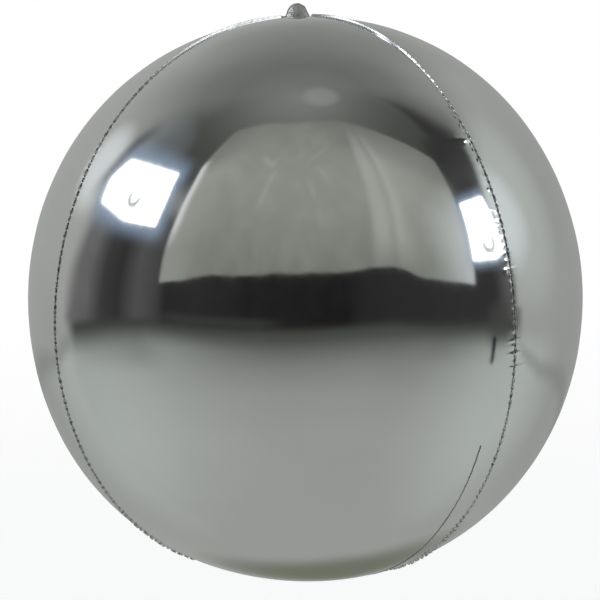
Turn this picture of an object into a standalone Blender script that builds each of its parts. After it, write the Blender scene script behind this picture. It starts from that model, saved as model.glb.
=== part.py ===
"""Inflated sphere foil balloon: four mirror-film gores, welded seams, crown tab and filling neck.

Metres, +Z up, origin at the centre of the envelope. The front gore faces -Y, with one seam
45 degrees to each side of it. The crown tab is at the top, the filling neck at the bottom.
An azimuth is measured from -Y towards +X.
"""
import math

import bmesh
import bpy
from mathutils import Vector

# Envelope: slightly taller than wide, as four flat gores inflate
EQUATOR_RADIUS = 0.280
POLAR_RADIUS = 0.285
FILM_WALL = 0.001

# Share by which it is fuller than an ellipsoid, halfway between its equator and a pole
FULLNESS = 0.0056

# Gap kept between pieces that touch
CLEARANCE = 0.0003

# Welded seams: the two films' edges, standing proud of the envelope
SEAM_THICKNESS = 0.001
SEAM_HEIGHT = 0.0025

# Crown tab: a puffed lobe inside a flat welded rim, on a round foot that closes the gores' tips
TAB_WIDTH = 0.025
TAB_HEIGHT = 0.015
TAB_DEPTH = 0.011
# Power of its outline: 1 makes a half ellipse, 2 a parabola
TAB_POWER = 1.3
TAB_RIM_WIDTH = 0.0012
TAB_RIM_THICKNESS = 0.0012
FOOT_MARGIN = 0.0015
FOOT_THICKNESS = 0.002

# Filling neck: a flat film tube that leaves the bottom foot and is folded back under the envelope
NECK_WIDTH = 0.025
NECK_THICKNESS = 0.002
NECK_DROP = 0.010
NECK_BEND_RADIUS = 0.004
NECK_BEND_DEGREES = 96.0
TAIL_LENGTH = 0.045

# Valve weld: a line on the front gore, beside the front right seam, from the neck upwards
VALVE_WELD_OFFSET = 0.025
VALVE_WELD_WIDTH = 0.0015
VALVE_WELD_THICKNESS = 0.0005
VALVE_WELD_TOP_DEGREES = -18.0
VALVE_WELD_SWING_DEGREES = 60.0

# Facets
GORE_ROWS = 28
GORE_COLUMNS = 14
SEAM_STEPS = 56
TAB_STEPS = 16
FOOT_STEPS = 32
BEND_STEPS = 8
VALVE_STEPS = 26

# Each gore's name and the azimuth of its middle, in degrees
GORES = (
    ("gore_front", 0.0),
    ("gore_right", 90.0),
    ("gore_back", 180.0),
    ("gore_left", 270.0),
)

# Each seam's name and azimuth, in degrees: halfway between two gores
SEAMS = (
    ("seam_front_right", 45.0),
    ("seam_back_right", 135.0),
    ("seam_back_left", 225.0),
    ("seam_front_left", 315.0),
)
GORE_HALF_ANGLE = math.radians(180.0 / len(GORES))
VALVE_SEAM_AZIMUTH = math.radians(SEAMS[0][1])

# Half of the slot between two gores' edges, which the seam stands in
SLOT_HALF_WIDTH = SEAM_THICKNESS / 2 + CLEARANCE

# Radii of the holes that the gores' tips leave at the crown and at the neck
CROWN_HOLE_RADIUS = TAB_WIDTH / 2 + FOOT_MARGIN
NECK_HOLE_RADIUS = NECK_WIDTH / 2 + FOOT_MARGIN


def film_material(name, color, roughness):
    """Return a metallic material for the aluminised film."""
    material = bpy.data.materials.new(name)
    material.use_nodes = True
    shader = material.node_tree.nodes["Principled BSDF"]
    shader.inputs["Base Color"].default_value = (*color, 1.0)
    shader.inputs["Metallic"].default_value = 1.0
    shader.inputs["Roughness"].default_value = roughness
    return material


def add_object(name, mesh_builder, material, smooth_degrees=30.0):
    """Turn a closed bmesh into an object with its faces pointing out."""
    bmesh.ops.recalc_face_normals(mesh_builder, faces=mesh_builder.faces)
    mesh = bpy.data.meshes.new(name)
    mesh_builder.to_mesh(mesh)
    mesh_builder.free()
    mesh.shade_smooth()
    mesh.set_sharp_from_angle(angle=math.radians(smooth_degrees))
    mesh.materials.append(material)
    part = bpy.data.objects.new(name, mesh)
    bpy.context.scene.collection.objects.link(part)
    return part


def envelope_ring(latitude, offset):
    """Radius from the axis and height of the envelope at a latitude, moved out by an offset."""
    fuller = 1.0 + FULLNESS * math.sin(2.0 * latitude) ** 2
    growth = 2.0 * FULLNESS * math.sin(4.0 * latitude)
    radius = EQUATOR_RADIUS * fuller * math.cos(latitude)
    height = POLAR_RADIUS * fuller * math.sin(latitude)
    radius_change = EQUATOR_RADIUS * (growth * math.cos(latitude) - fuller * math.sin(latitude))
    height_change = POLAR_RADIUS * (growth * math.sin(latitude) + fuller * math.cos(latitude))
    normal = Vector((height_change, -radius_change)).normalized()
    return radius + offset * normal.x, height + offset * normal.y


def around_axis(azimuth, radius, height):
    """Point at an azimuth, a distance from the axis and a height."""
    return Vector((radius * math.sin(azimuth), -radius * math.cos(azimuth), height))


def latitude_of_radius(radius):
    """Latitude north of the equator at a small distance from the axis, where FULLNESS adds nothing."""
    return math.acos(radius / EQUATOR_RADIUS)


def latitudes(low, high, steps):
    """Evenly spaced latitudes from low to high, both included."""
    return [low + (high - low) * step / steps for step in range(steps + 1)]


def join_sections(mesh_builder, sections, closed_ends=True):
    """Skin a list of point loops of equal length into one closed tube."""
    loops = [[mesh_builder.verts.new(point) for point in section] for section in sections]
    count = len(loops[0])
    for here, there in zip(loops, loops[1:]):
        for index in range(count):
            after = (index + 1) % count
            mesh_builder.faces.new((here[index], here[after], there[after], there[index]))
    if closed_ends:
        mesh_builder.faces.new(loops[0])
        mesh_builder.faces.new(loops[-1])


def gore_row(middle_azimuth, latitude, offset):
    """Points across one gore at a latitude, from its left edge to its right edge."""
    radius, height = envelope_ring(latitude, offset)
    half_angle = GORE_HALF_ANGLE - math.asin(SLOT_HALF_WIDTH / radius)
    points = []
    for column in range(GORE_COLUMNS + 1):
        share = 2.0 * column / GORE_COLUMNS - 1.0
        points.append(around_axis(middle_azimuth + share * half_angle, radius, height))
    return points


def build_gore(name, middle_degrees, material):
    """One film panel, from the neck's foot to the crown's foot, as a closed curved shell."""
    middle_azimuth = math.radians(middle_degrees)
    low = -latitude_of_radius(NECK_HOLE_RADIUS)
    high = latitude_of_radius(CROWN_HOLE_RADIUS)
    sections = []
    for latitude in latitudes(low, high, GORE_ROWS):
        outside = gore_row(middle_azimuth, latitude, 0.0)
        inside = gore_row(middle_azimuth, latitude, -FILM_WALL)
        sections.append(outside + inside[::-1])
    builder = bmesh.new()
    join_sections(builder, sections, closed_ends=False)
    builder.verts.ensure_lookup_table()
    per_row = 2 * (GORE_COLUMNS + 1)
    for first in (0, per_row * GORE_ROWS):
        for column in range(GORE_COLUMNS):
            opposite = per_row - 1 - column
            corners = (column, column + 1, opposite - 1, opposite)
            builder.faces.new([builder.verts[first + corner] for corner in corners])
    return add_object(name, builder, material)


def build_seam(name, azimuth_degrees, material):
    """One welded seam: a thin fin that stands in the slot between two gores."""
    azimuth = math.radians(azimuth_degrees)
    across = Vector((math.cos(azimuth), math.sin(azimuth), 0.0)) * (SEAM_THICKNESS / 2)
    low = -latitude_of_radius(NECK_HOLE_RADIUS)
    high = latitude_of_radius(CROWN_HOLE_RADIUS)
    sections = []
    for latitude in latitudes(low, high, SEAM_STEPS):
        root = around_axis(azimuth, *envelope_ring(latitude, -FILM_WALL))
        edge = around_axis(azimuth, *envelope_ring(latitude, SEAM_HEIGHT))
        sections.append([root - across, root + across, edge + across, edge - across])
    builder = bmesh.new()
    join_sections(builder, sections)
    return add_object(name, builder, material)


def foot_disc(name, hole_radius, side, material):
    """Round foot that fills the hole at one pole; side is 1 at the crown and -1 at the neck."""
    outer = side * envelope_ring(latitude_of_radius(hole_radius), 0.0)[1]
    inner = outer - side * FOOT_THICKNESS
    rim = [2.0 * math.pi * step / FOOT_STEPS for step in range(FOOT_STEPS)]
    radius = hole_radius - CLEARANCE
    builder = bmesh.new()
    join_sections(builder, [[around_axis(a, radius, z) for a in rim] for z in (inner, outer)])
    return add_object(name, builder, material), outer


def unite(base, cutter_name, builder, material):
    """Join a second closed shape to a base object with a Boolean union, and apply it."""
    tool = add_object(cutter_name, builder, material)
    union = base.modifiers.new("union", "BOOLEAN")
    union.operation = "UNION"
    union.object = tool
    depsgraph = bpy.context.evaluated_depsgraph_get()
    joined = bpy.data.meshes.new_from_object(base.evaluated_get(depsgraph))
    base.modifiers.clear()
    base.data = joined
    joined.name = base.name
    bpy.data.objects.remove(tool)
    return base


def tab_outline(depth, scale, base_height):
    """Rounded outline of the tab at one depth, closed below inside the foot."""
    half_width = scale * TAB_WIDTH / 2
    sunk = base_height - FOOT_THICKNESS / 2
    points = [Vector((half_width, depth, sunk))]
    for step in range(TAB_STEPS + 1):
        turn = math.pi * step / TAB_STEPS
        height = base_height + scale * TAB_HEIGHT * math.sin(turn) ** TAB_POWER
        points.append(Vector((half_width * math.cos(turn), depth, height)))
    points.append(Vector((-half_width, depth, sunk)))
    return points


def build_crown_tab(material):
    """Crown tab: foot, flat rim and the puffed lobe, whose front and back are flat pads."""
    tab, base_height = foot_disc("crown_tab", CROWN_HOLE_RADIUS, 1, material)
    lobe_scale = 1.0 - 2.0 * TAB_RIM_WIDTH / TAB_WIDTH
    # Depth as a share of half the tab's depth, and size as a share of the lobe's outline
    lobe_profile = ((1.0, 0.55), (0.9, 0.72), (0.6, 0.90))
    front = [(-share * TAB_DEPTH / 2, size * lobe_scale) for share, size in lobe_profile]
    front.append((-TAB_RIM_THICKNESS / 2, lobe_scale))
    front.append((-TAB_RIM_THICKNESS / 2, 1.0))
    back = [(-depth, scale) for depth, scale in reversed(front)]
    builder = bmesh.new()
    join_sections(builder, [tab_outline(depth, scale, base_height) for depth, scale in front + back])
    return unite(tab, "crown_lobe", builder, material)


def neck_section(height, along, direction):
    """Rectangle across the neck at a point of its centre line, square to the direction of travel."""
    normal = Vector((0.0, direction.z, -direction.y)) * (NECK_THICKNESS / 2)
    side = Vector((NECK_WIDTH / 2, 0.0, 0.0))
    centre = Vector((0.0, along, height))
    return [centre - side - normal, centre + side - normal, centre + side + normal, centre - side + normal]


def build_neck(material):
    """Filling neck: down from the foot, round a soft fold and back along the underside."""
    neck, foot_height = foot_disc("filling_neck", NECK_HOLE_RADIUS, -1, material)
    down = Vector((0.0, 0.0, -1.0))
    bend_height = foot_height - NECK_DROP
    sections = [
        neck_section(foot_height + FOOT_THICKNESS / 2, 0.0, down),
        neck_section(bend_height, 0.0, down),
    ]
    for step in range(1, BEND_STEPS + 1):
        turn = math.radians(NECK_BEND_DEGREES) * step / BEND_STEPS
        along = NECK_BEND_RADIUS * (1.0 - math.cos(turn))
        height = bend_height - NECK_BEND_RADIUS * math.sin(turn)
        direction = Vector((0.0, math.sin(turn), -math.cos(turn)))
        sections.append(neck_section(height, along, direction))
    end_along = along + TAIL_LENGTH * direction.y
    end_height = height + TAIL_LENGTH * direction.z
    sections.append(neck_section(end_height, end_along, direction))
    builder = bmesh.new()
    join_sections(builder, sections)
    return unite(neck, "neck_tube", builder, material)


def build_valve_weld(material):
    """Valve weld: a low ridge on the front gore, at one distance from the front right seam."""
    swing = math.radians(VALVE_WELD_SWING_DEGREES)
    low = -latitude_of_radius(VALVE_WELD_OFFSET / math.sin(swing))
    high = math.radians(VALVE_WELD_TOP_DEGREES)
    sections = []
    for latitude in latitudes(low, high, VALVE_STEPS):
        section = []
        for lift, side in ((0, -1), (0, 1), (1, 1), (1, -1)):
            radius, height = envelope_ring(latitude, CLEARANCE + lift * VALVE_WELD_THICKNESS)
            offset = VALVE_WELD_OFFSET + side * VALVE_WELD_WIDTH / 2
            azimuth = VALVE_SEAM_AZIMUTH - math.asin(offset / radius)
            section.append(around_axis(azimuth, radius, height))
        sections.append(section)
    builder = bmesh.new()
    join_sections(builder, sections)
    return add_object("valve_weld", builder, material)


def build_balloon():
    """Model every piece of the balloon."""
    for item in list(bpy.data.objects):
        bpy.data.objects.remove(item)
    for name, degrees in GORES:
        build_gore(name, degrees, film_material(name + "_film", (0.70, 0.71, 0.70), 0.08))
    for name, degrees in SEAMS:
        build_seam(name, degrees, film_material(name + "_film", (0.66, 0.67, 0.66), 0.18))
    build_crown_tab(film_material("crown_tab_film", (0.60, 0.61, 0.60), 0.20))
    build_neck(film_material("filling_neck_film", (0.66, 0.67, 0.66), 0.22))
    build_valve_weld(film_material("valve_weld_film", (0.30, 0.31, 0.30), 0.30))


build_balloon()
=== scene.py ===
"""Looks of an inflated sphere foil balloon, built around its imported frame.

Metres, +Z up, origin at the centre of the envelope, front panel towards -Y.
An azimuth is measured from -Y towards +X, an elevation or a latitude from the horizon up.
A "run" is a length along a panel, measured from the equator towards the crown.
"""
import math

import bpy
import numpy as np
from mathutils import Matrix, Vector


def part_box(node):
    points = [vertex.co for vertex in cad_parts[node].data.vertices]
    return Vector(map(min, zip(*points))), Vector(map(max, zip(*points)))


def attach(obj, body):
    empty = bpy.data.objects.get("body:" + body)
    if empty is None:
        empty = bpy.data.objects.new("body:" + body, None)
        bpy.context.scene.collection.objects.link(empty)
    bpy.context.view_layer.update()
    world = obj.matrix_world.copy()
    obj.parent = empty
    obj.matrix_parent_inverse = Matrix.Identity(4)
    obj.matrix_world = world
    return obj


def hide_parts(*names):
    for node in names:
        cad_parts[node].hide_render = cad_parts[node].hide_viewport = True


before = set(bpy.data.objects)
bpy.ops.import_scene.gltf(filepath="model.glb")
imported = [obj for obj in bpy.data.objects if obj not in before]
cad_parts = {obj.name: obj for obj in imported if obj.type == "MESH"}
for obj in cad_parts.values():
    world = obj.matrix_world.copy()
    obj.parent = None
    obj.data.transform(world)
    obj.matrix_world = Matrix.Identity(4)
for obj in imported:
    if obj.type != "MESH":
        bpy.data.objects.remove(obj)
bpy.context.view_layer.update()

MM = 0.001
BODY = "root"

# Envelope: as wide as the front panel stands out in the frame, and taller by the height share
EQUATOR_RADIUS = -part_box("gore_front")[0].y
HEIGHT_SHARE = 285.0 / 280.0
POLAR_RADIUS = EQUATOR_RADIUS * HEIGHT_SHARE
MEAN_RADIUS = (EQUATOR_RADIUS + POLAR_RADIUS) / 2
# Share by which it is fuller than an ellipsoid halfway between the equator and a pole
FULLNESS = 0.0056
# Round swellings and one hollow: azimuth, elevation, lift in millimetres and how narrow each is
SWELLINGS = ((116, 61, 2.4, 10), (-76, -34, 2.1, 10), (-19, -78, -1.8, 25))

# Crown tab and filling neck, as wide as the frame's, whose boxes end at the round feet
FOOT_MARGIN = 1.2 * MM
TAB_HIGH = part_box("crown_tab")[1]
NECK_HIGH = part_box("filling_neck")[1]
TAB_HALF_WIDTH = TAB_HIGH.x - FOOT_MARGIN
NECK_HALF_WIDTH = NECK_HIGH.x - FOOT_MARGIN

# Tab: how far it is sunk and shifted, and its outline, a lobe with a waist partway up
TAB_SUNK = 0.1 * MM
TAB_SHIFT = -1.4 * MM
TAB_POWER = 1.3
TAB_BULGE = 1.06
TAB_WAIST = 0.10
TAB_WAIST_HEIGHT = 0.38
TAB_WAIST_REACH = 0.2

# Its puffed middle, its creases and its thin rim; places are shares of the way out to the edge
TAB_AROUND = 72
TAB_ACROSS = 26
TAB_SEED = 41
TAB_HALF_DEPTH = 4.6 * MM
TAB_PUFF_POWER = 0.9
TAB_CREASE = 0.14 * MM
TAB_CREASE_PLACE = 0.62
TAB_CREASE_REACH = 0.26
TAB_RIM_START = 0.92
TAB_RIM_HALF_THICKNESS = 0.22 * MM
TAB_RIM_RIPPLE = 0.02
TAB_RIM_SWING = 0.30 * MM
TAB_SWING_START = 0.72

# Path of the neck: straight down, round a fold and back along the underside
NECK_SUNK = 1.5 * MM
NECK_DROP = 11.5 * MM
NECK_DROP_STEPS = 8
NECK_BEND_RADIUS = 4 * MM
NECK_BEND = math.radians(96)
NECK_BEND_STEPS = 12
NECK_END_MARGIN = 1.5 * MM
NECK_TAIL_STEPS = 36

# Its section: half a film's width at the edges, a swollen middle, creases and swinging edges
NECK_COLUMNS = 34
NECK_SEED = 51
NECK_EDGE_HALF_THICKNESS = 0.25 * MM
NECK_SWELL = 0.9 * MM
NECK_LENGTH_CREASE = 0.35 * MM
NECK_CROSS_CREASE = 0.30 * MM
NECK_EDGE_SWING = 0.5 * MM
NECK_EDGE_RIPPLE = 0.02

# At its foot it is a little narrower, and its creases are gathered
NECK_PINCH = 0.05
NECK_PINCH_REACH = 4 * MM
NECK_GATHER_REACH = 16 * MM

# Film, and the slot beside the middle of a seam: its width, and its greatest share of the radius
FILM_THICKNESS = 0.5 * MM
SEAM_SLOT = 0.35 * MM
WIDEST_SLOT = 0.4

# Gentle undulation of a panel: its lengths in millimetres and the lift of the longest
BROAD_LENGTHS = (210, 150, 110, 80, 55)
BROAD_LIFT = 0.11 * MM
BROAD_START = 18 * MM

# Near a pole each seam turns to the nearest side of the tab or neck. The panels end in a tip or
# clear of that side, and are smooth within the last radius
TURN_RADIUS = 22 * MM
TIP_RADIUS = 1.2 * MM
TIP_CLEARANCE = 0.6 * MM
SMOOTH_RADIUS = 14 * MM

# Radial gathers about a pole: two numbers of creases all round, lift, reach and hollow middle
GATHER_COUNTS = (17, 29)
GATHER_LIFT = 0.35 * MM
GATHER_REACH = 16 * MM
GATHER_START = 9 * MM

# Groove and puckers of the film beside a weld
GROOVE_DEPTH = 0.05 * MM
GROOVE_REACH = 1.8 * MM
PUCKER_LIFT = 0.16 * MM
PUCKER_REACH = 2.2 * MM
PUCKER_SHORTEST = 2.4 * MM
PUCKER_LONGEST = 4.6 * MM
FINE_SHARE = 0.6
FINE_REACH = 1.0 * MM
FINE_SHORTEST = 0.9 * MM
FINE_LONGEST = 1.9 * MM

# Wrinkles that cross each weld: half width, number, share of the weld that has them, and the range
# of their lift and reach in millimetres
WRINKLE_WIDTH = 1.4 * MM
WRINKLE_COUNT = 12
WRINKLE_SPAN = 0.9
WRINKLE_LIFTS = (-0.14, 0.20)
WRINKLE_REACHES = (3, 7)

# Small round bumps in the film, in a row on each side of a weld
BUMP_LIFT = 0.40 * MM
BUMP_RADIUS = 1.15 * MM
BUMP_OFFSET = 2.3 * MM
BUMP_SHORTEST = 5.0 * MM
BUMP_LONGEST = 15.0 * MM

# Welded fin: its height by latitude in degrees and millimetres, its thickness, how deep its root
# is sunk, the levels of its section as shares of the height, and its step along the seam
FIN_HEIGHTS = ((-85, 2.6), (-52, 2.4), (-28, 1.3), (46, 1.15), (74, 2.4), (85, 2.6))
FIN_THICKNESS = 0.40 * MM
FIN_ROOT = 0.7 * MM
FIN_LEVELS = (0.0, 0.1, 0.5, 0.93, 1.0)
FIN_STEP = 0.5 * MM

# How it swings from side to side and how uneven its height is, as shares of the height
FIN_SWING = 0.60
FIN_FINE_SWING = 0.3
FIN_MEAN_HEIGHT = 0.92
FIN_RISE = 0.16
FIN_RAGGED = 0.10
RISE_SHORTEST = 5 * MM
RISE_LONGEST = 14 * MM

# Pleats nip the fin: spacing, number, half length, the share of its height that they take, and
# where they fade out towards the crown
PLEAT_SHORTEST = 4.5 * MM
PLEAT_LONGEST = 11 * MM
PLEAT_COUNT = 140
PLEAT_REACH = 0.75 * MM
PLEAT_SHARE = 0.9
PLEAT_START = math.radians(57)
PLEAT_END = math.radians(62)

# Towards the crown the fins lean over and lie calmer: where each starts and is full, and the share
# of the film's and the fin's unevenness that is gone there
LEAN_START = math.radians(32)
LEAN_END = math.radians(46)
TOP_LEAN_START = math.radians(56)
TOP_LEAN_END = math.radians(70)
CALM_START = math.radians(38)
CALM_END = math.radians(60)
FILM_CALM = 0.9
FIN_CALM = 0.98

# Panel mesh: step along a panel, columns beside each seam and columns between them
ROW_STEP = 1.0 * MM
SEAM_COLUMNS = np.array([0.0, 0.5, 1.0, 1.6, 2.2, 2.9, 3.8, 5.0, 6.4, 8.2, 11.0, 17.0]) * MM
MIDDLE_COLUMNS = 24
WIDEST_ZONE_SHARE = 0.34

# Each seam: its azimuth, the side of the tab that it ends at, the lean of its fin halfway up and
# at the crown, how wrinkled its right side is, and its seed
SEAMS = {
    "seam_front_right": (45.0, 90.0, 21.0, -14.0, 0.08, 11),
    "seam_back_right": (135.0, 90.0, -15.0, -15.0, 1.0, 12),
    "seam_back_left": (225.0, 270.0, 15.0, 15.0, 1.0, 13),
    "seam_front_left": (315.0, 270.0, -5.5, -5.5, 1.0, 14),
}

# How far a seam strays to the right of its meridian: latitude in degrees and millimetres
STRAYS = {
    "seam_front_right": ((-85, 0.0), (-36, -2.0), (-12, 1.0), (20, 1.0), (40, 0.0), (85, 0.0)),
    "seam_back_right": ((-85, 0.0), (-20, 1.4), (30, -1.2), (85, 0.0)),
    "seam_back_left": ((-85, 0.0), (-30, -1.2), (20, 1.6), (85, 0.0)),
    "seam_front_left": ((-85, 0.0), (-24, -1.4), (-3, -2.4), (12, 0.0), (26, 1.6), (40, 1.4), (52, 2.8),
                        (74, -0.4), (85, 0.0)),
}

# Each panel: the seams on its left and right, seen from outside, and its seed
GORES = {
    "gore_front": ("seam_front_left", "seam_front_right", 21),
    "gore_right": ("seam_front_right", "seam_back_right", 22),
    "gore_back": ("seam_back_right", "seam_back_left", 23),
    "gore_left": ("seam_back_left", "seam_front_left", 24),
}

# Longer wrinkles across the front right seam: latitude, lift and reach on each side
FRONT_RIGHT_WRINKLES = (
    (35.4, 0.20, 5),
    (20.0, 0.25, 5),
    (12.4, 0.35, 5),
    (0.3, 0.30, 5),
    (-1.9, 0.40, 6),
    (-4.3, 0.45, 6),
)

# Dents beside it that hold a bright spot: latitude, distance to the left, lift and radius
BRIGHT_DENTS = (
    (12.0, 5.6, 0.25, 2.0),
    (35.6, 3.0, 0.80, 3.2),
    (35.6, 7.0, 0.80, 3.2),
    (35.6, 11.0, 0.60, 3.2),
)

# Valve weld, at one distance from the front right seam: its section in shares of its width and
# height, its wander aside and its beads, as a share of its height
VALVE_OFFSET = 25 * MM
VALVE_TOP = math.radians(-18)
VALVE_SWING = math.radians(60)
VALVE_WIDTH = 1.3 * MM
VALVE_HEIGHT = 0.5 * MM
VALVE_PROFILE = ((-0.5, -0.35), (-0.42, 0.35), (-0.15, 1.0), (0.15, 1.0), (0.42, 0.35), (0.5, -0.35))
VALVE_WANDER = 0.25 * MM
VALVE_BEADS = 0.45
VALVE_STEP = 0.8 * MM
VALVE_SEED = 31

# Camera, fitted to the photograph
CAMERA_AZIMUTH = 6.93
CAMERA_ELEVATION = 10.33
CAMERA_ROLL = -1.36
CAMERA_DISTANCE = 3.80 * EQUATOR_RADIUS
CAMERA_RIGHT = -0.0190 * EQUATOR_RADIUS
CAMERA_UP = -0.0010 * EQUATOR_RADIUS
CAMERA_LENS = 61.0
CAMERA_SENSOR = 36.0

# Floor: its depth under the balloon, its size, where it fades into the ground, its paleness and
# its own light
FLOOR_DROP = 0.30
FLOOR_RADIUS = 9.0
FLOOR_CORNERS = 64
FLOOR_FADE_START = 0.9
FLOOR_FADE_END = 3.2
FLOOR_WHITE = 0.9
FLOOR_LIFT = 0.62


def smooth(share):
    """Smooth step from 0 to 1."""
    share = np.clip(share, 0.0, 1.0)
    return share * share * (3.0 - 2.0 * share)


def envelope(latitude):
    """Radius from the axis and height of the envelope, and how both change with the latitude."""
    fuller = 1.0 + FULLNESS * np.sin(2 * latitude) ** 2
    growth = 2 * FULLNESS * np.sin(4 * latitude)
    radius = EQUATOR_RADIUS * np.cos(latitude) * fuller
    height = POLAR_RADIUS * np.sin(latitude) * fuller
    radius_change = EQUATOR_RADIUS * (np.cos(latitude) * growth - np.sin(latitude) * fuller)
    height_change = POLAR_RADIUS * (np.sin(latitude) * growth + np.cos(latitude) * fuller)
    return radius, height, radius_change, height_change


def surface_normal(azimuth, latitude):
    """Outward unit normals of the envelope."""
    _, _, radius_change, height_change = envelope(latitude)
    length = np.hypot(radius_change, height_change)
    across, up = height_change / length, -radius_change / length
    return np.stack([across * np.sin(azimuth), -across * np.cos(azimuth), up + 0.0 * azimuth], axis=-1)


def heading(azimuth, elevation):
    """Unit vector of a direction given in degrees."""
    turn, rise = math.radians(azimuth), math.radians(elevation)
    return Vector((math.sin(turn) * math.cos(rise), -math.cos(turn) * math.cos(rise), math.sin(rise)))


def surface_point(azimuth, latitude, lift=0.0):
    """Points of the envelope, moved out by a lift."""
    azimuth, latitude, lift = np.broadcast_arrays(azimuth, latitude, lift)
    radius, height, _, _ = envelope(latitude)
    base = np.stack([radius * np.sin(azimuth), -radius * np.cos(azimuth), height], axis=-1)
    for across, up, swelling, power in SWELLINGS:
        towards = base @ np.array(heading(across, up)) / MEAN_RADIUS
        lift = lift + swelling * MM * np.clip(towards, 0.0, 1.0) ** power
    return base + lift[..., None] * surface_normal(azimuth, latitude)


def latitude_of_radius(radius):
    """Northern latitude at a small distance from the axis, where the fullness counts for nothing."""
    return math.acos(radius / EQUATOR_RADIUS)


def knots(degrees, latitude):
    """Value at a latitude between knots, each a latitude in degrees and a value in millimetres."""
    places, values = zip(*degrees)
    return np.interp(np.degrees(latitude), places, values) * MM


class Wave:
    """An uneven wave along a run, which swings from side to side in steps of random length."""

    def __init__(self, rng, shortest, longest, start, end):
        count = int((end - start) / shortest) + 4
        self.places = start - longest + np.cumsum(rng.uniform(shortest, longest, count))
        signs = np.where(np.arange(count) % 2, -1.0, 1.0)
        self.heights = signs * rng.uniform(0.35, 1.0, count)

    def at(self, run):
        """Height of the wave, from -1 to 1."""
        index = np.clip(np.searchsorted(self.places, run) - 1, 0, len(self.places) - 2)
        here, there = self.places[index], self.places[index + 1]
        share = smooth((run - here) / (there - here))
        return self.heights[index] + (self.heights[index + 1] - self.heights[index]) * share


class Seam:
    """One weld: where it runs, how it swings and leans, and the wrinkles that start from it."""

    def __init__(self, name, straight, side, lean, top_lean, right_share, seed):
        self.name = name
        self.straight = math.radians(straight)
        self.side = math.radians(side)
        self.full_lean = math.tan(math.radians(lean))
        self.top_lean = math.tan(math.radians(top_lean))
        self.shares = {-1: 1.0, 1: right_share}
        self.rng = np.random.default_rng(seed)
        reach = MEAN_RADIUS * math.pi / 2
        self.swing = Wave(self.rng, PUCKER_SHORTEST, PUCKER_LONGEST, -reach, reach)
        self.fine = Wave(self.rng, FINE_SHORTEST, FINE_LONGEST, -reach, reach)
        self.rise = Wave(self.rng, RISE_SHORTEST, RISE_LONGEST, -reach, reach)
        self.bumps = {side: self.row_of_bumps(reach) for side in (-1, 1)}
        self.pleats = -reach + np.cumsum(self.rng.uniform(PLEAT_SHORTEST, PLEAT_LONGEST, PLEAT_COUNT))
        self.wrinkles = []
        span = WRINKLE_SPAN * reach
        for run in self.rng.uniform(-span, span, WRINKLE_COUNT):
            lift = self.rng.uniform(*WRINKLE_LIFTS) * MM
            self.wrinkles.append((run, lift, self.rng.uniform(*WRINKLE_REACHES) * MM))

    def row_of_bumps(self, reach):
        """Bumps along one side of the weld: run, distance from the weld and lift."""
        bumps = []
        run = -reach
        while run < reach:
            run += self.rng.uniform(BUMP_SHORTEST, BUMP_LONGEST)
            distance = BUMP_OFFSET * self.rng.uniform(0.6, 1.2)
            bumps.append((run, distance, BUMP_LIFT * self.rng.uniform(0.2, 1.0), BUMP_RADIUS))
        return bumps

    def azimuth(self, latitude):
        """Azimuth of the seam at a latitude."""
        radius = EQUATOR_RADIUS * np.cos(latitude)
        tip = np.where(np.asarray(latitude) > 0, TAB_HALF_WIDTH, NECK_HALF_WIDTH)
        turn = smooth((TURN_RADIUS - radius) / (TURN_RADIUS - tip))
        straight = self.straight + knots(STRAYS[self.name], latitude) / np.maximum(radius, TURN_RADIUS)
        return straight + (self.side - straight) * turn

    def lean(self, latitude):
        """How far the fin's edge stands aside, as a share of its height."""
        top = smooth((latitude - TOP_LEAN_START) / (TOP_LEAN_END - TOP_LEAN_START))
        lean = self.full_lean + (self.top_lean - self.full_lean) * top
        return lean * smooth((latitude - LEAN_START) / (LEAN_END - LEAN_START))

    def pleat(self, latitude):
        """Share of the fin's height that the nearest pleat takes."""
        run = MEAN_RADIUS * latitude
        apart = np.abs(run[..., None] - self.pleats).min(axis=-1)
        share = PLEAT_SHARE * smooth((PLEAT_END - latitude) / (PLEAT_END - PLEAT_START))
        return share * np.exp(-((apart / PLEAT_REACH) ** 2))

    def calm(self, latitude):
        """How calm the weld is: 0 where it is fully puckered, 1 where it lies smooth."""
        return smooth((latitude - CALM_START) / (CALM_END - CALM_START))

    def film_lift(self, latitude, distance, side):
        """Lift of the film beside the weld; side is 1 on its right and -1 on its left."""
        run = MEAN_RADIUS * latitude
        lively = 1.0 - FILM_CALM * self.calm(latitude)
        lift = -GROOVE_DEPTH * lively * np.exp(-distance / GROOVE_REACH)
        pucker = self.swing.at(run) + FINE_SHARE * self.fine.at(run) * np.exp(-distance / FINE_REACH)
        lift = lift + side * PUCKER_LIFT * lively * pucker * np.exp(-distance / PUCKER_REACH)
        for place, offset, height, radius in self.bumps[side]:
            apart = ((run - place) ** 2 + (distance - offset) ** 2) / radius ** 2
            lift = lift + height * lively * np.exp(-apart)
        lift = lift * self.shares[side]
        for place, height, reach in self.wrinkles:
            across = ((run - place) / WRINKLE_WIDTH) ** 2
            lift = lift + height * (1.0 - across) * np.exp(-across) * np.exp(-((distance / reach) ** 2))
        return lift


def tube_faces(rows, columns):
    """Quads of a closed tube, row by row, and of its two ends as strips across."""
    index = np.arange(rows * columns).reshape(rows, columns)
    after = np.roll(index, -1, axis=1)
    sides = np.stack([index[:-1], after[:-1], after[1:], index[1:]], axis=-1).reshape(-1, 4)
    left = np.arange(columns // 2 - 1)
    strip = np.stack([left, left + 1, columns - 2 - left, columns - 1 - left], axis=-1)
    last = strip + (rows - 1) * columns
    return np.concatenate([sides, strip[:, ::-1], last])


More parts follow.
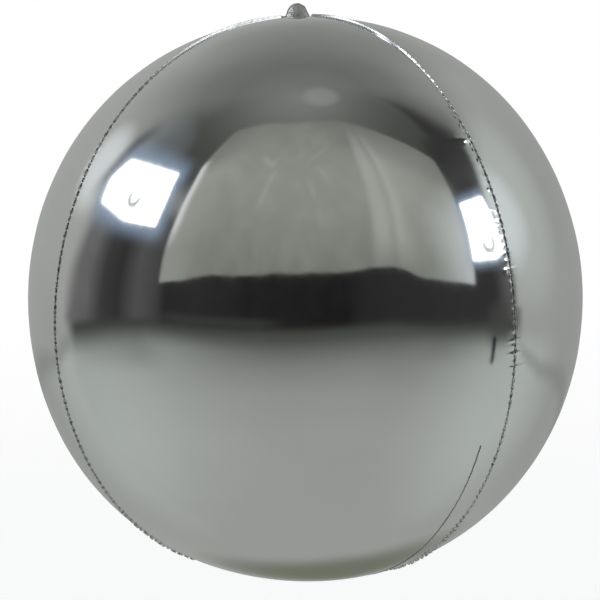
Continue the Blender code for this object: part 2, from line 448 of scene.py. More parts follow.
def add_piece(name, node, loops, material):
    """Add a smooth closed piece, made of a row of loops, that stands for a node of the frame."""
    points = loops.reshape(-1, 3)
    faces = tube_faces(*loops.shape[:2])
    corner = points[faces]
    spread = np.cross(corner[:, 1] - corner[:, 0], corner[:, 2] - corner[:, 0])
    other = np.cross(corner[:, 2] - corner[:, 0], corner[:, 3] - corner[:, 0])
    # A negative volume means that the quads face in
    if np.sum(corner[:, 0] * (spread + other)) < 0:
        faces = faces[:, ::-1]
    mesh = bpy.data.meshes.new(name)
    mesh.from_pydata(points.tolist(), [], faces.tolist())
    mesh.update()
    mesh.shade_smooth()
    mesh.materials.append(material)
    piece = bpy.data.objects.new(name, mesh)
    bpy.context.scene.collection.objects.link(piece)
    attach(piece, BODY)
    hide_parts(node)


def broad_waves(seed):
    """A gentle undulation of a panel, as a function of the run and the distance across it."""
    rng = np.random.default_rng(seed)
    waves = []
    for length in BROAD_LENGTHS:
        angle = rng.uniform(0, math.pi)
        phase = rng.uniform(0, 2 * math.pi)
        number = 2 * math.pi / (length * MM)
        waves.append((number * math.cos(angle), number * math.sin(angle), phase, length / BROAD_LENGTHS[0]))

    def lift(run, across):
        total = 0.0
        for along_number, across_number, phase, size in waves:
            total = total + size * np.sin(along_number * run + across_number * across + phase)
        return BROAD_LIFT * total

    return lift


def gore_grid(name, seams):
    """Latitudes, azimuths and distances from both welds, for every point of a panel."""
    left_name, right_name, _ = GORES[name]
    left, right = seams[left_name], seams[right_name]
    meets_tab = name in ("gore_front", "gore_back")
    top_radius = TIP_RADIUS if meets_tab else TAB_HALF_WIDTH + TIP_CLEARANCE
    bottom_radius = TIP_RADIUS if meets_tab else NECK_HALF_WIDTH + TIP_CLEARANCE
    low = -latitude_of_radius(bottom_radius)
    high = latitude_of_radius(top_radius)
    rows = int(MEAN_RADIUS * (high - low) / ROW_STEP)
    latitude = np.linspace(low, high, rows)[:, None]
    radius = EQUATOR_RADIUS * np.cos(latitude)
    slot = np.arcsin(np.minimum(SEAM_SLOT / radius, WIDEST_SLOT))
    start = left.azimuth(latitude) + slot
    end = right.azimuth(latitude) - slot
    if left.straight > right.straight:
        start = start - 2 * math.pi
    width = radius * (end - start)
    zone = np.minimum(1.0, WIDEST_ZONE_SHARE * width / SEAM_COLUMNS[-1]) * SEAM_COLUMNS / width
    middle = np.linspace(0.0, 1.0, MIDDLE_COLUMNS + 2)[1:-1]
    middle = zone[:, -1:] + (1.0 - 2.0 * zone[:, -1:]) * middle
    share = np.concatenate([zone, middle, 1.0 - zone[:, ::-1]], axis=1)
    return latitude, start + share * (end - start), share * width, (1.0 - share) * width


def build_gore(name, seams, material):
    """One film panel: tight in the middle, grooved and puckered beside its welds."""
    left_name, right_name, seed = GORES[name]
    latitude, azimuth, from_left, from_right = gore_grid(name, seams)
    radius = EQUATOR_RADIUS * np.cos(latitude)
    lift = seams[left_name].film_lift(latitude, from_left, 1)
    lift = lift + seams[right_name].film_lift(latitude, from_right, -1)
    inner = 1.0 - np.exp(-np.minimum(from_left, from_right) / BROAD_START)
    lift = lift + inner * broad_waves(seed)(MEAN_RADIUS * latitude, from_left)
    lift = lift * smooth(radius / SMOOTH_RADIUS)
    lift = lift + pole_gathers(azimuth, radius, latitude)
    outside = surface_point(azimuth, latitude, lift)
    inside = surface_point(azimuth, latitude, lift - FILM_THICKNESS)
    loops = np.concatenate([outside, inside[:, ::-1]], axis=1)
    add_piece(name + "_panel", name, loops, material)


def pole_gathers(azimuth, radius, latitude):
    """Fine radial creases where the panels are gathered into the tab or neck."""
    few, many = GATHER_COUNTS
    creases = np.sin(few * azimuth + 0.6) + 0.7 * np.sin(many * azimuth + 2.1 + 2.0 * (latitude > 0))
    fade = np.exp(-radius / GATHER_REACH) * smooth(radius / GATHER_START)
    return GATHER_LIFT * creases * fade


def seam_frame(seam, latitude):
    """Base point, outward direction and sideways direction along a seam."""
    azimuth = seam.azimuth(latitude)
    base = surface_point(azimuth, latitude)
    outward = surface_normal(azimuth, latitude)
    along = np.gradient(base, axis=0)
    along /= np.linalg.norm(along, axis=1)[:, None]
    return base, outward, np.cross(along, outward)


def build_fin(name, seam, material):
    """One welded seam: two films pressed together, standing out and puckered from side to side."""
    low = -latitude_of_radius(NECK_HALF_WIDTH)
    high = latitude_of_radius(TAB_HALF_WIDTH)
    rows = int(MEAN_RADIUS * (high - low) / FIN_STEP)
    latitude = np.linspace(low, high, rows)
    run = MEAN_RADIUS * latitude
    base, outward, sideways = seam_frame(seam, latitude)
    lively = 1.0 - FIN_CALM * seam.calm(latitude)
    uneven = FIN_MEAN_HEIGHT + lively * (FIN_RISE * seam.rise.at(run) + FIN_RAGGED * seam.fine.at(run))
    height = knots(FIN_HEIGHTS, latitude) * uneven * (1.0 - seam.pleat(latitude))
    swing = FIN_SWING * lively * (seam.swing.at(run) + FIN_FINE_SWING * seam.fine.at(run))
    swing = swing + seam.lean(latitude)
    sections = []
    for side, order in ((-1, FIN_LEVELS), (1, FIN_LEVELS[::-1])):
        for level in order:
            up = height * level - FIN_ROOT * (level == 0.0)
            shift = up * swing + side * FIN_THICKNESS / 2
            sections.append(base + outward * up[:, None] + sideways * shift[:, None])
    add_piece(name + "_weld", name, np.stack(sections, axis=1), material)


def build_valve_weld(seam, material):
    """The inner valve's weld: a thin uneven ridge on the front panel."""
    low = -latitude_of_radius(VALVE_OFFSET / math.sin(VALVE_SWING))
    high = VALVE_TOP
    rows = int(MEAN_RADIUS * (high - low) / VALVE_STEP)
    latitude = np.linspace(low, high, rows)
    run = MEAN_RADIUS * latitude
    rng = np.random.default_rng(VALVE_SEED)
    wander = Wave(rng, 3 * MM, 8 * MM, run[0], run[-1])
    beads = Wave(rng, 1.1 * MM, 2.2 * MM, run[0], run[-1])
    sections = []
    for across, up in VALVE_PROFILE:
        rise = VALVE_HEIGHT * up * (1.0 + VALVE_BEADS * beads.at(run) * (up > 0))
        offset = VALVE_OFFSET - across * VALVE_WIDTH + VALVE_WANDER * wander.at(run)
        radius = EQUATOR_RADIUS * np.cos(latitude)
        azimuth = seam.azimuth(latitude) - np.arcsin(np.clip(offset / radius, -1, 1))
        sections.append(surface_point(azimuth, latitude, rise))
    loops = np.stack(sections, axis=1)
    add_piece("valve_weld_line", "valve_weld", loops, material)


def build_crown_tab(material):
    """The puffed tab: a creased lobe inside a thin crinkled rim, standing on the crown."""
    rng = np.random.default_rng(TAB_SEED)
    base = POLAR_RADIUS - TAB_SUNK
    height = TAB_HIGH.z - base
    turn = np.linspace(0.0, math.pi, TAB_AROUND)[:, None]
    share = np.linspace(0.0, 1.0, TAB_ACROSS)[None, :]
    puff = np.clip(1.0 - (share / TAB_RIM_START) ** 2, 0.0, 1.0) ** TAB_PUFF_POWER
    creases = Wave(rng, 0.12, 0.26, 0.0, math.pi)
    ripple = Wave(rng, 0.16, 0.34, 0.0, math.pi)
    crease = creases.at(turn) * np.exp(-(((share - TAB_CREASE_PLACE) / TAB_CREASE_REACH) ** 2))
    edge = 1.0 + TAB_RIM_RIPPLE * ripple.at(turn)
    up = np.sin(turn) ** TAB_POWER
    waist = 1.0 - TAB_WAIST * np.exp(-(((up - TAB_WAIST_HEIGHT) / TAB_WAIST_REACH) ** 2))
    x = TAB_SHIFT + TAB_HALF_WIDTH * TAB_BULGE * share * np.cos(turn) * edge * waist
    z = base + height * share * up * edge
    depth = np.maximum(TAB_HALF_DEPTH * puff + TAB_CREASE * crease, TAB_RIM_HALF_THICKNESS)
    swinging = smooth((share - TAB_SWING_START) / (1.0 - TAB_SWING_START))
    rim_swing = TAB_RIM_SWING * ripple.at(turn) * swinging
    front = np.stack(np.broadcast_arrays(x, rim_swing - depth, z), axis=-1)
    back = np.stack(np.broadcast_arrays(x, rim_swing + depth, z), axis=-1)
    loops = np.concatenate([front, back[:, ::-1]], axis=1)
    add_piece("crown_tab_lobe", "crown_tab", loops, material)


def neck_path():
    """Centre line of the filling neck in its plane: places along +Y, heights and headings."""
    start = -POLAR_RADIUS + NECK_SUNK
    low = start - NECK_DROP
    tail = NECK_HIGH.y - NECK_BEND_RADIUS * (1 - math.cos(NECK_BEND)) - NECK_END_MARGIN
    path = [(0.0, height, 0.0) for height in np.linspace(start, low, NECK_DROP_STEPS + 1)]
    for turn in np.linspace(0.0, NECK_BEND, NECK_BEND_STEPS + 1)[1:]:
        along = NECK_BEND_RADIUS * (1 - math.cos(turn))
        path.append((along, low - NECK_BEND_RADIUS * math.sin(turn), turn))
    bend_along, bend_height, _ = path[-1]
    for reach in np.linspace(0.0, tail, NECK_TAIL_STEPS + 1)[1:]:
        along = bend_along + reach * math.sin(NECK_BEND)
        path.append((along, bend_height - reach * math.cos(NECK_BEND), NECK_BEND))
    return np.array(path)


def build_neck(material):
    """The filling neck: a flat creased film tube, gathered at the foot and folded back."""
    rng = np.random.default_rng(NECK_SEED)
    path = neck_path()
    steps = np.hypot(np.diff(path[:, 0]), np.diff(path[:, 1]))
    run = np.concatenate([[0.0], np.cumsum(steps)])[:, None]
    across = -np.cos(np.linspace(0.0, math.pi, NECK_COLUMNS))[None, :]
    lengthwise = Wave(rng, 0.14, 0.34, -1.0, 1.0).at(across)
    crosswise = Wave(rng, 3 * MM, 7 * MM, 0.0, run[-1, 0]).at(run)
    edge_swing = Wave(rng, 2.5 * MM, 5 * MM, 0.0, run[-1, 0]).at(run)
    width = 1.0 - NECK_PINCH * np.exp(-run / NECK_PINCH_REACH) + NECK_EDGE_RIPPLE * crosswise
    x = NECK_HALF_WIDTH * across * width
    gather = np.exp(-run / NECK_GATHER_REACH)
    middle = NECK_LENGTH_CREASE * lengthwise * (0.5 + gather) + NECK_CROSS_CREASE * crosswise
    middle = middle + NECK_EDGE_SWING * edge_swing * np.abs(across) ** 5
    swollen = (1 - np.abs(across) ** 3) * (0.75 + 0.25 * crosswise)
    swell = NECK_EDGE_HALF_THICKNESS + NECK_SWELL * swollen
    turn = path[:, 2][:, None]
    normal_y, normal_z = -np.cos(turn), -np.sin(turn)
    layers = []
    for side in (1, -1):
        offset = middle + side * swell
        y = path[:, 0][:, None] + normal_y * offset
        z = path[:, 1][:, None] + normal_z * offset
        layers.append(np.stack(np.broadcast_arrays(x, y, z), axis=-1))
    loops = np.concatenate([layers[0], layers[1][:, ::-1]], axis=1)
    add_piece("filling_neck_tube", "filling_neck", loops, material)


class Term:
    """A number inside a shader graph, which adds and multiplies like a plain one."""

    def __init__(self, graph, socket):
        self.graph = graph
        self.socket = socket

    def __add__(self, other):
        return self.graph.math("ADD", self, other)

    def __sub__(self, other):
        return self.graph.math("SUBTRACT", self, other)

    def __mul__(self, other):
        return self.graph.math("MULTIPLY", self, other)

    def __truediv__(self, other):
        return self.graph.math("DIVIDE", self, other)


class Graph:
    """A short way to add and join shader nodes."""

    def __init__(self, tree):
        self.tree = tree
        tree.nodes.clear()

    def add(self, kind, inputs=None, **settings):
        """Add a node, set its properties, and fill or link its inputs by name or number."""
        node = self.tree.nodes.new(kind)
        for key, value in settings.items():
            setattr(node, key, value)
        for key, value in (inputs or {}).items():
            self.fill(node.inputs[key], value)
        return node

    def fill(self, socket, value):
        """Link a socket to another one, or set its value."""
        if isinstance(value, Term):
            value = value.socket
        if isinstance(value, bpy.types.NodeSocket):
            self.tree.links.new(value, socket)
        else:
            socket.default_value = value

    def math(self, operation, first, second=0.0):
        """One arithmetic step."""
        node = self.add("ShaderNodeMath", {0: first, 1: second}, operation=operation)
        return Term(self, node.outputs[0])

    def step(self, value, low, high, first=0.0, second=1.0):
        """Smooth step of a value from first to second between low and high."""
        inputs = {"Value": value, "From Min": low, "From Max": high, "To Min": first, "To Max": second}
        node = self.add("ShaderNodeMapRange", inputs, interpolation_type="SMOOTHSTEP")
        return Term(self, node.outputs["Result"])

    def noise(self, vector, scale, detail=3.0, roughness=0.5):
        """Noise from 0 to 1."""
        inputs = {"Vector": vector, "Scale": scale, "Detail": detail, "Roughness": roughness}
        return Term(self, self.add("ShaderNodeTexNoise", inputs).outputs["Fac"])

    def mix(self, factor, first, second):
        """Blend two colours."""
        node = self.add("ShaderNodeMix", data_type="RGBA")
        self.fill(node.inputs["Factor"], factor)
        self.fill(node.inputs[6], first)
        self.fill(node.inputs[7], second)
        return node.outputs[2]

    def ramp(self, value, low, high, stops):
        """Grey or coloured gradient over a range of values; stops are (value, colour)."""
        span = self.add("ShaderNodeMapRange", {"Value": value, "From Min": low, "From Max": high})
        node = self.add("ShaderNodeValToRGB", {"Fac": span.outputs["Result"]})
        elements = node.color_ramp.elements
        for element, (place, _) in zip(elements, (stops[0], stops[-1])):
            element.position = (place - low) / (high - low)
        for place, _ in stops[1:-1]:
            elements.new((place - low) / (high - low))
        for element, (_, colour) in zip(elements, stops):
            element.color = colour
        return node.outputs["Color"]


# Each film: its darker and lighter grey, its two roughnesses, and the depths of its soft and its
# fine bumps in millimetres
FILMS = {
    "panel_film": (0.80, 0.84, (0.05, 0.09), 0.02, 0.0012),
    "weld_film": (0.64, 0.80, (0.24, 0.29), 0.02, 0.001),
    "tab_film": (0.62, 0.86, (0.48, 0.58), 0.06, 0.003),
    "neck_film": (0.68, 0.84, (0.10, 0.24), 0.10, 0.006),
    "valve_film": (0.16, 0.42, (0.22, 0.40), 0.10, 0.010),
}

# Scales of a film's clouding, streaks, grain and soft ripple, and the streaks' stretch
CLOUD_SCALE = 9.0
STREAK_SCALE = 160.0
GRAIN_SCALE = 1400.0
RIPPLE_SCALE = 38.0
STREAK_STRETCH = (1.0, 1.0, 0.06)


def film_material(name, darker, lighter, roughness, soft_bump, fine_bump):
    """Aluminised film: a metal with faint clouding, drawn streaks and a very fine grain."""
    material = bpy.data.materials.new(name)
    material.use_nodes = True
    graph = Graph(material.node_tree)
    place = graph.add("ShaderNodeTexCoord").outputs["Object"]
    stretched = graph.add("ShaderNodeMapping", {"Vector": place, "Scale": STREAK_STRETCH})
    clouds = graph.noise(place, CLOUD_SCALE, 4.0)
    streaks = graph.noise(stretched.outputs["Vector"], STREAK_SCALE, 2.0)
    grain = graph.noise(place, GRAIN_SCALE, 2.0)
    ripple = graph.noise(place, RIPPLE_SCALE, 2.0, 0.4)
    colour = graph.mix(graph.step(clouds, 0.3, 0.7), grey(darker), grey(lighter))
    rough = graph.step(clouds * 0.6 + streaks * 0.4, 0.3, 0.7, roughness[0], roughness[1])
    soft = graph.add("ShaderNodeBump", {"Strength": 1.0, "Distance": soft_bump * MM, "Height": ripple})
    fine = graph.add("ShaderNodeBump", {
        "Strength": 1.0,
        "Distance": fine_bump * MM,
        "Height": grain + streaks * 1.5,
        "Normal": soft.outputs[0],
    })
    shader = graph.add("ShaderNodeBsdfPrincipled", {
        "Base Color": colour,
        "Metallic": 1.0,
        "Roughness": rough,
        "Normal": fine.outputs[0],
    })
    graph.add("ShaderNodeOutputMaterial", {"Surface": shader.outputs[0]})
    return material


def grey(level):
    """A neutral colour."""
    return (level, level, level, 1.0)


# Share of light that the film throws back, which the studio's tones allow for
FILM_REFLECTANCE = 0.82


def tone(level, red=-2, blue=-3):
    """Light that shows as this display green, 0 to 255, in the film; red and blue are set off."""
    display = np.array([level + red, level, level + blue]) / 255.0
    light = np.where(display <= 0.04045, display / 12.92, ((display + 0.055) / 1.055) ** 2.4)
    return (*(light / FILM_REFLECTANCE), 1.0)


# The room's tones by elevation in degrees: behind and beside, above in front, and the floor, from
# the foot of the walls down; and the low walls in front, by azimuth
SIDE_TONES = ((-90, 150), (-45, 152), (-20, 146), (0, 155), (32, 157), (48, 135), (60, 112), (70, 105),
              (80, 111), (90, 121))
CEILING_TONES = ((38, 50), (52, 68), (60, 76), (70, 92), (80, 109), (90, 119))
FLOOR_TONES = ((-90, 150), (-40, 151), (-24, 144), (-14, 126), (-8, 103), (-4, 78), (0, 62))
WALL_TONES = ((-98, 112), (-88, 101), (-79, 58), (-70, 46), (-61, 82), (-54, 70), (-49, 37), (-36, 40),
              (-15, 26), (8, 21), (22, 20), (31, 35), (60, 42), (84, 46), (92, 88))

# The walls' foot lies below the horizon, and it sinks beyond an azimuth on each side, by a share
WALL_FOOT_DROP = 1.5
RIGHT_SINK_START = 40.0
RIGHT_SINK_SHARE = 0.10
LEFT_SINK_START = -56.0
LEFT_SINK_SHARE = -0.14

# Round soft patches: azimuth, elevation, full within, gone beyond, share, tone
WALL_PATCHES = (
    (180, 42, 2, 26, 0.55, (115,)),
    (155, 0, 5, 45, 0.6, (141,)),
    (108, 20, 2, 30, 0.95, (172, -5)),
    (99.5, 19.5, 0, 17, 0.9, (205, -8, 0)),
    (-110, 27, 1, 14, 1.0, (204, -4, 1)),
)
CEILING_PATCHES = ((113, 84, 3, 6.5, 0.45, (148,)), (-88, 47, 2, 14, 0.25, (150, -8, 8)))
FLOOR_PATCHES = ((-179, -53, 0, 22, 0.9, (104, -3, -14)),)

# Soft boxes: azimuths and elevations, each from, to and how soft the edges are; share, tone
WALL_BOXES = (
    ((-105, -99, 2.5), (24, 46, 5), 0.7, (75, -6, 8)),
    ((-50, -6, 7), (-1, 1.8, 1.5), 0.75, (61,)),
)
FLOOR_BOXES = (
    ((81, 92, 3), (-12, -1, 3), 0.7, (68,)),
    ((82.7, 84.3, 0.5), (-17.6, -10.4, 0.8), 1.0, (16, 0, 10)),
)

# Hung sheet, flat and facing this azimuth. Places on it are tangents seen from the balloon's
# centre: across to the right, and up from the horizon
SHEET_FACING = 7.5
SHEET_FOOT = 0.346
SHEET_HEAD = 5.02
SHEET_LEFT = -1.70
SHEET_RIGHT = 2.30
SHEET_TONES = ((6, 128), (14, 116), (22, 118), (32, 127), (42, 134), (52, 138), (62, 134), (70, 127),
               (78, 117))

# Two upright folds at its right, painted lighter where lit: place across, and share of the lit tone
FOLD_SHARES = ((0.41, 0.0), (0.48, 0.44), (0.58, 0.44), (0.66, 0.20), (0.76, 0.54), (0.83, 0.40),
               (0.95, 0.27), (1.30, 0.20), (1.90, 0.16))

# Small creases, painted as lit strokes: start and end on the sheet, half width and share of the lit tone
CREASES = (
    (-0.56, 2.15, -0.34, 1.62, 0.08, 0.26),
    (-0.30, 2.05, -0.38, 1.70, 0.05, 0.22),
    (-0.31, 1.58, -0.43, 0.92, 0.035, 0.28),
    (-0.95, 2.00, -0.70, 1.30, 0.15, 0.12),
    (0.06, 1.36, 0.10, 1.00, 0.035, 0.20),
    (0.16, 1.66, 0.28, 1.22, 0.05, 0.16),
    (0.02, 1.62, 0.50, 2.60, 0.05, 0.16),
    (0.12, 0.92, 0.13, 0.72, 0.04, 0.14),
)

# Corners of the two lamps' windows, as directions
LEFT_LAMP = ((-97.0, 36.9), (-99.4, 29.5), (-95.8, 23.3), (-78.0, 24.4), (-60.5, 27.0), (-61.1, 36.2),
             (-64.8, 44.9))
RIGHT_LAMP = ((82.0, 29.3), (77.0, 13.0), (88.3, 10.9), (94.2, 11.2), (94.4, 18.0), (94.7, 27.8))

# Each lamp: its window, how far its glow reaches and the middle of its dark bow
LAMPS = ((LEFT_LAMP, 8.5, (-78.6, 31.4)), (RIGHT_LAMP, 4.5, (86.5, 16.4)))
LAMP_LIGHT = (3.4, 3.5, 3.6, 1.0)
LAMP_SOFT = 0.6
GLOW_TONE = (153, -18, 22)
GLOW_SHARE = 0.92

# The bow is a ring without its top: its edges and its ends, each soft between two angles from its
# middle
BOW_TONE = (118,)
BOW_SHARE = 0.96
BOW_INNER = (1.2, 1.8)
BOW_OUTER = (3.2, 3.8)
BOW_ENDS = (0.5, 1.8)


class Room(Graph):
    """What every direction from the balloon looks like: one layer painted over another."""

    def __init__(self, tree):
        super().__init__(tree)
        self.direction = self.add("ShaderNodeTexCoord").outputs["Generated"]
        parts = self.add("ShaderNodeSeparateXYZ", {0: self.direction}).outputs
        self.across, self.upwards = Term(self, parts[0]), Term(self, parts[2])
        forward = Term(self, parts[1]) * -1.0
        self.azimuth = self.math("DEGREES", self.math("ARCTAN2", self.across, forward))
        self.elevation = self.math("DEGREES", self.math("ARCSINE", self.upwards))
        self.beside = self.math("ABSOLUTE", self.azimuth)
        # Height over the foot of the walls, which sinks towards both sides
        right_sink = self.math("MAXIMUM", self.azimuth - RIGHT_SINK_START, 0.0) * RIGHT_SINK_SHARE
        left_sink = self.math("MINIMUM", self.azimuth - LEFT_SINK_START, 0.0) * LEFT_SINK_SHARE
        self.over_floor = self.elevation + right_sink + left_sink + WALL_FOOT_DROP
        self.colour = self.gradient(self.elevation, SIDE_TONES)

    def gradient(self, value, tones, red=-2, blue=-3):
        """Colour from a list of (value, level), the first and last one kept beyond the ends."""
        stops = [(place, tone(level, red, blue)) for place, level in tones]
        return self.ramp(value, tones[0][0], tones[-1][0], stops)

    def paint(self, colour, share, *masks):
        """Lay a colour over the room where all the masks are 1."""
        mask = share
        for item in masks:
            mask = item * mask
        self.colour = self.mix(mask, self.colour, colour)

    def band(self, value, low, high, soft):
        """Mask of a range of values with soft edges."""
        return self.step(value, low - soft, low + soft) * self.step(value, high + soft, high - soft)

    def towards(self, direction):
        """Cosine of the angle to a direction."""
        inputs = {0: self.direction, 1: direction}
        node = self.add("ShaderNodeVectorMath", inputs, operation="DOT_PRODUCT")
        return Term(self, node.outputs["Value"])

    def glow(self, azimuth, elevation, inner, outer):
        """Round mask about a direction, full within one angle and gone beyond another."""
        near, far = math.cos(math.radians(inner)), math.cos(math.radians(outer))
        return self.step(self.towards(heading(azimuth, elevation)), far, near)

    def window(self, corners, inside, outside):
        """Mask of a convex window, its corners listed anticlockwise, soft over these angles."""
        mask = 1.0
        for here, there in zip(corners, corners[1:] + corners[:1]):
            edge = heading(*here).cross(heading(*there)).normalized()
            mask = self.step(self.towards(edge), -math.radians(outside), math.radians(inside)) * mask
        return mask

    def paint_patches(self, patches):
        """Round soft patches of light or shade."""
        for azimuth, elevation, inner, outer, share, level in patches:
            self.paint(tone(*level), share, self.glow(azimuth, elevation, inner, outer))

    def paint_boxes(self, boxes):
        """Soft boxes of light or shade."""
        for azimuths, elevations, share, level in boxes:
            across, up = self.band(self.azimuth, *azimuths), self.band(self.elevation, *elevations)
            self.paint(tone(*level), share, across, up)


def paint_ceiling(room):
    """Dark ceiling over the front and the sides, with two paler patches."""
    room.paint(room.gradient(room.elevation, CEILING_TONES), 1.0,
               room.band(room.azimuth, -99, 116, 17), room.step(room.elevation, 32, 46))
    room.paint_patches(CEILING_PATCHES)


def paint_front(room):
    """The floor and the low dark walls over it."""
    room.paint(room.gradient(room.over_floor, FLOOR_TONES), 1.0,
               room.band(room.azimuth, -98, 97, 4), room.step(room.over_floor, 4.0, 2.0))
    clouds = room.noise(room.direction, 8.0, 3.0)
    walls = room.mix(clouds * 0.35, room.gradient(room.azimuth, WALL_TONES, 0, 0), tone(52, 0, 0))
    left_edge = room.azimuth - room.elevation * 0.12
    room.paint(walls, 1.0, room.step(left_edge, -103, -95), room.step(room.azimuth, 97, 93),
               room.step(room.over_floor, -1.5, 1.7), room.step(room.elevation, 40, 29))
    room.paint_boxes(WALL_BOXES)


def paint_gap(room):
    """The dark gap beside the sheet, which rises beyond azimuth 97 and sinks short of azimuth 90."""
    slanted = room.elevation - room.math("MAXIMUM", room.azimuth - 97.0, 0.0)
    slanted = slanted + room.math("MAXIMUM", room.azimuth * -0.8 + 72.0, 0.0)
    room.paint(tone(50, -1, -1), 0.92, room.band(room.azimuth, 81, 110, 6), room.band(slanted, 28, 51, 4.0))


def paint_floor_light(room):
    """Lamp light on the floor, the balloon's shade, the walls' foot and two dark spots."""
    floor = room.step(room.over_floor, -1.0, -8.5) * room.step(room.elevation, -78, -34)
    floor = floor * room.step(room.beside, 138, 98)
    room.paint(tone(175, -6, -4), 0.72, floor, room.step(room.azimuth, 2, -88))
    room.paint(tone(177, -6, -4), 0.82, floor, room.step(room.azimuth, 38, 95))
    room.paint_patches(FLOOR_PATCHES)
    room.paint(tone(60), 0.33, room.band(room.beside, 54, 93, 8), room.band(room.elevation, -14, -4, 5))
    foot = room.elevation + room.azimuth / 60.0
    foot = foot - room.math("MAXIMUM", room.beside * -1.0 + 115.0, 0.0) * 0.3
    room.paint(tone(120), 0.85, room.band(foot, -18.8, -16.8, 2.5), room.step(room.beside, 97, 101),
               room.step(room.beside, 172, 158))
    room.paint_boxes(FLOOR_BOXES)


def crease(room, across, up, line, half_width):
    """Mask of a soft straight stroke on the sheet; the line is its start and its end."""
    start_across, start_up, end_across, end_up = line
    ahead, rise = end_across - start_across, end_up - start_up
    length = math.hypot(ahead, rise)
    right, above = across - start_across, up - start_up
    along = (right * ahead + above * rise) / length ** 2
    aside = room.math("ABSOLUTE", right * (rise / length) - above * (ahead / length))
    return room.band(along, 0.1, 0.9, 0.15) * room.step(aside, half_width, 0.0)


def sheet_edges(room, across, up, from_left):
    """Masks of the sheet's foot, which droops in places, of its sagging head and of both sides."""
    wave = room.noise(room.direction, 5.0, 2.0) * 0.05
    droop = room.step(room.azimuth, 43, 57) * 0.092 - room.step(room.azimuth, 24, 36) * 0.028
    droop = droop - room.step(room.azimuth, -15, -36) * 0.024
    foot = room.step(up + wave + droop, SHEET_FOOT + 0.014, SHEET_FOOT + 0.036)
    sag = room.band(across, -0.7, 0.4, 0.6) * 0.55
    head = room.step(up + sag, SHEET_HEAD + 0.16, SHEET_HEAD - 0.16)
    to_right = up * 0.50 + SHEET_RIGHT - across
    return foot, head, room.step(from_left, -0.05, 0.05), room.step(to_right, -0.08, 0.08)


def sheet_layers(room, across, up, from_left):
    """Lit folds, shade, lamp light, a painted highlight along the left edge and lit creases of the sheet,
    each a colour and a mask.
    """
    folded = room.add("ShaderNodeMapping", {"Vector": room.direction, "Scale": (3.4, 3.4, 0.8)})
    folds = room.step(room.noise(folded.outputs["Vector"], 2.2, 4.0, 0.6), 0.40, 0.68)
    low = room.step(up, 4.6, 1.8)
    # Painted highlight along the sheet's left edge, over part of its height
    left_edge_highlight = room.step(from_left, 0.25, 0.03) * room.band(up, 0.92, 2.7, 0.25)
    lamp_lit = room.step(room.azimuth, 56, 78) * room.step(room.elevation, 42, 20)
    shares = [(place, grey(share)) for place, share in FOLD_SHARES]
    upright = Term(room, room.ramp(across - up * 0.15, 0.3, 2.0, shares))
    top_corners = (room.step(across, 0.2, 1.0) + room.step(across, -0.5, -1.6)) * room.step(up, 1.7, 2.8)
    lit_fold = tone(178, -2, -5)
    # Sheet layers: painted lighter folds, a lighter left side low down, painted shade in both top corners,
    # lit upright folds, the lamp's painted light, the left edge's painted highlight and lit creases
    layers = [
        (tone(168, -3, -7), folds * 0.14),
        (tone(165, -3, -6), room.step(across, -0.6, -1.7) * low * 0.5),
        (tone(104, -3, -5), top_corners * 0.6),
        (lit_fold, upright * low * room.step(up, 0.2, 0.75)),
        (tone(188, -6, 0), lamp_lit * 0.9),
        (tone(216, -3, 0), left_edge_highlight * 0.95),
    ]
    for *line, half_width, share in CREASES:
        layers.append((lit_fold, crease(room, across, up, line, half_width) * share))
    return layers


def paint_sheet(room):
    """Pale sheet hung on the wall, straight at its head and foot, with soft folds and creases."""
    ahead = room.towards(heading(SHEET_FACING, 0))
    across = room.towards(heading(SHEET_FACING + 90, 0)) / ahead
    up = room.upwards / ahead
    from_left = across + room.step(up, 1.6, 2.9) * 0.20 - SHEET_LEFT
    sheet = room.gradient(room.elevation, SHEET_TONES, -3, -7)
    for colour, mask in sheet_layers(room, across, up, from_left):
        sheet = room.mix(mask, sheet, colour)
    room.paint(sheet, 1.0, *sheet_edges(room, across, up, from_left), room.step(ahead, 0.03, 0.06))


def paint_lamp(room, corners, reach, bow):
    """A lamp's white window, with a bluish glow around it and a small dark bow, open at the top."""
    room.paint(tone(*GLOW_TONE), GLOW_SHARE, room.window(corners, 1.0, reach),
               room.step(room.beside, 102, 99))
    room.paint(LAMP_LIGHT, 1.0, room.window(corners, LAMP_SOFT, LAMP_SOFT))
    hollow = room.glow(*bow, *BOW_INNER) * -1.0 + 1.0
    below = room.step(room.elevation, bow[1] + BOW_ENDS[1], bow[1] + BOW_ENDS[0])
    room.paint(tone(*BOW_TONE), BOW_SHARE, room.glow(*bow, *BOW_OUTER), hollow, below)


def build_studio():
    """A soft studio: pale sides and floor, dark ceiling, hung pale sheet and two lamps.

    Only reflections and light see it. The camera sees a plain pale ground.
    """
    world = bpy.data.worlds.new("studio")
    world.use_nodes = True
    bpy.context.scene.world = world
    room = Room(world.node_tree)
    room.paint_patches(WALL_PATCHES)
    paint_ceiling(room)
    paint_front(room)
    paint_gap(room)
    paint_floor_light(room)
    paint_sheet(room)
    for corners, reach, bow in LAMPS:
        paint_lamp(room, corners, reach, bow)
    seen = room.add("ShaderNodeLightPath").outputs["Is Camera Ray"]
    colour = room.mix(seen, room.colour, grey(1.0))
    background = room.add("ShaderNodeBackground", {"Color": colour, "Strength": 1.0})
    room.add("ShaderNodeOutputWorld", {"Surface": background.outputs[0]})


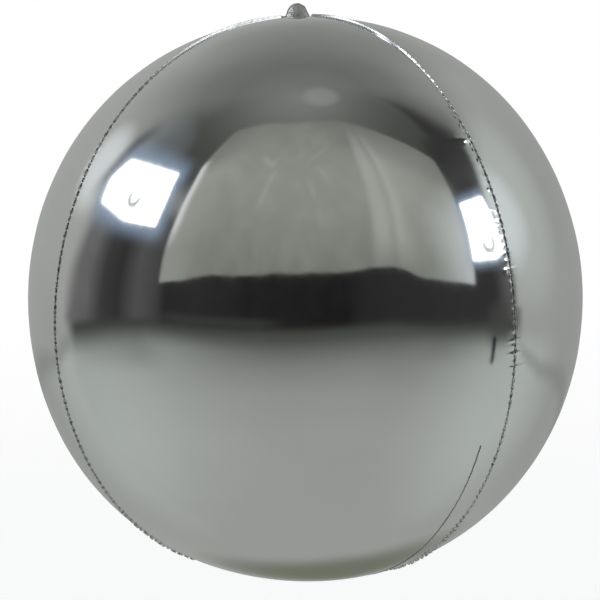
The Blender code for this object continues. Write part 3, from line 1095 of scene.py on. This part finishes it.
def build_floor():
    """A plain pale floor well under the balloon, which fades out into the pale ground."""
    material = bpy.data.materials.new("pale_floor")
    material.use_nodes = True
    graph = Graph(material.node_tree)
    place = graph.add("ShaderNodeTexCoord").outputs["Object"]
    reach = graph.add("ShaderNodeVectorMath", {0: place}, operation="LENGTH").outputs["Value"]
    diffuse = graph.add("ShaderNodeBsdfDiffuse", {"Color": grey(FLOOR_WHITE)})
    lift = graph.add("ShaderNodeEmission", {"Color": grey(1.0), "Strength": FLOOR_LIFT})
    body = graph.add("ShaderNodeAddShader", {0: diffuse.outputs[0], 1: lift.outputs[0]})
    clear = graph.add("ShaderNodeBsdfTransparent")
    fade = graph.step(reach, FLOOR_FADE_START, FLOOR_FADE_END)
    mixed = graph.add("ShaderNodeMixShader", {0: fade, 1: body.outputs[0], 2: clear.outputs[0]})
    graph.add("ShaderNodeOutputMaterial", {"Surface": mixed.outputs[0]})
    height = -POLAR_RADIUS - FLOOR_DROP
    corners = [(math.cos(angle) * FLOOR_RADIUS, math.sin(angle) * FLOOR_RADIUS, height)
               for angle in np.linspace(0, 2 * math.pi, FLOOR_CORNERS, endpoint=False)]
    mesh = bpy.data.meshes.new("pale_floor")
    mesh.from_pydata(corners, [], [tuple(range(FLOOR_CORNERS))])
    mesh.materials.append(material)
    floor = bpy.data.objects.new("pale_floor", mesh)
    bpy.context.scene.collection.objects.link(floor)
    floor.visible_glossy = False


def build_camera():
    """The photograph's camera: close, a little to the right and above the middle."""
    roll = math.radians(CAMERA_ROLL)
    back = heading(CAMERA_AZIMUTH, CAMERA_ELEVATION)
    flat_right = heading(CAMERA_AZIMUTH + 90, 0)
    flat_up = back.cross(flat_right)
    right = math.cos(roll) * flat_right + math.sin(roll) * flat_up
    up = -math.sin(roll) * flat_right + math.cos(roll) * flat_up
    data = bpy.data.cameras.new("camera")
    data.lens = CAMERA_LENS
    data.sensor_width = CAMERA_SENSOR
    camera = bpy.data.objects.new("camera", data)
    bpy.context.scene.collection.objects.link(camera)
    place = right * CAMERA_RIGHT + up * CAMERA_UP + back * CAMERA_DISTANCE
    turn = Matrix((right, up, back)).transposed().to_4x4()
    camera.matrix_world = Matrix.Translation(place) @ turn
    bpy.context.scene.camera = camera


def mark_front_right(seam):
    """Give the front right seam the longer wrinkles and the bright dents of its own."""
    for latitude, lift, reach in FRONT_RIGHT_WRINKLES:
        seam.wrinkles.append((MEAN_RADIUS * math.radians(latitude), lift * MM, reach * MM))
    for latitude, distance, lift, radius in BRIGHT_DENTS:
        place = MEAN_RADIUS * math.radians(latitude)
        seam.bumps[-1].append((place, distance * MM, lift * MM, radius * MM))


def build_balloon():
    """Every piece of the balloon."""
    films = {name: film_material(name, *facts) for name, facts in FILMS.items()}
    seams = {name: Seam(name, *facts) for name, facts in SEAMS.items()}
    mark_front_right(seams["seam_front_right"])
    for name in GORES:
        build_gore(name, seams, films["panel_film"])
    for name, seam in seams.items():
        build_fin(name, seam, films["weld_film"])
    build_crown_tab(films["tab_film"])
    build_neck(films["neck_film"])
    build_valve_weld(seams["seam_front_right"], films["valve_film"])


build_camera()
build_studio()
build_floor()
build_balloon()
bpy.context.scene.view_settings.view_transform = "Standard"
